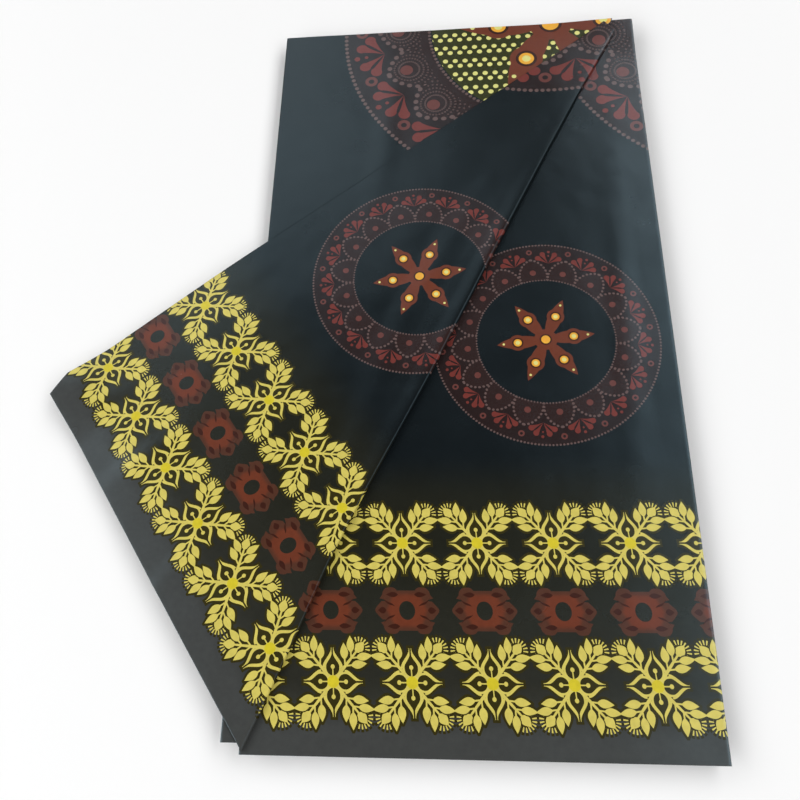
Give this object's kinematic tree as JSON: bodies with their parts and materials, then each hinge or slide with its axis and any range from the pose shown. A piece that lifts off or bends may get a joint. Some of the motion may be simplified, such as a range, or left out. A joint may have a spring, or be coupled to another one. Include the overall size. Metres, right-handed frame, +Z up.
{
  "type": "wax print fabric",
  "caption": "Folded length of printed cotton cloth lying flat, its upper corner turned over into a three-cornered flap.",
  "frame": {"origin": "middle of the base, on the surface that the cloth lies on", "axes": "+X to the right along the selvedges, +Y from the selvedges to the fold along the cloth's middle, +Z up"},
  "size_m": [0.4566, 0.5846, 0.0186],
  "materials": {
    "printed_cotton": "wax-finished printed cotton, dark ground with yellow and red-brown print, low sheen",
    "fold_edges": "edges of the folded dark cotton"
  },
  "bodies": {
    "root": {"hidden_folds": "fold_edges", "lower_leaf": "printed_cotton", "top_leaf": "printed_cotton", "turned_flap": "printed_cotton"}
  },
  "joints": []
}
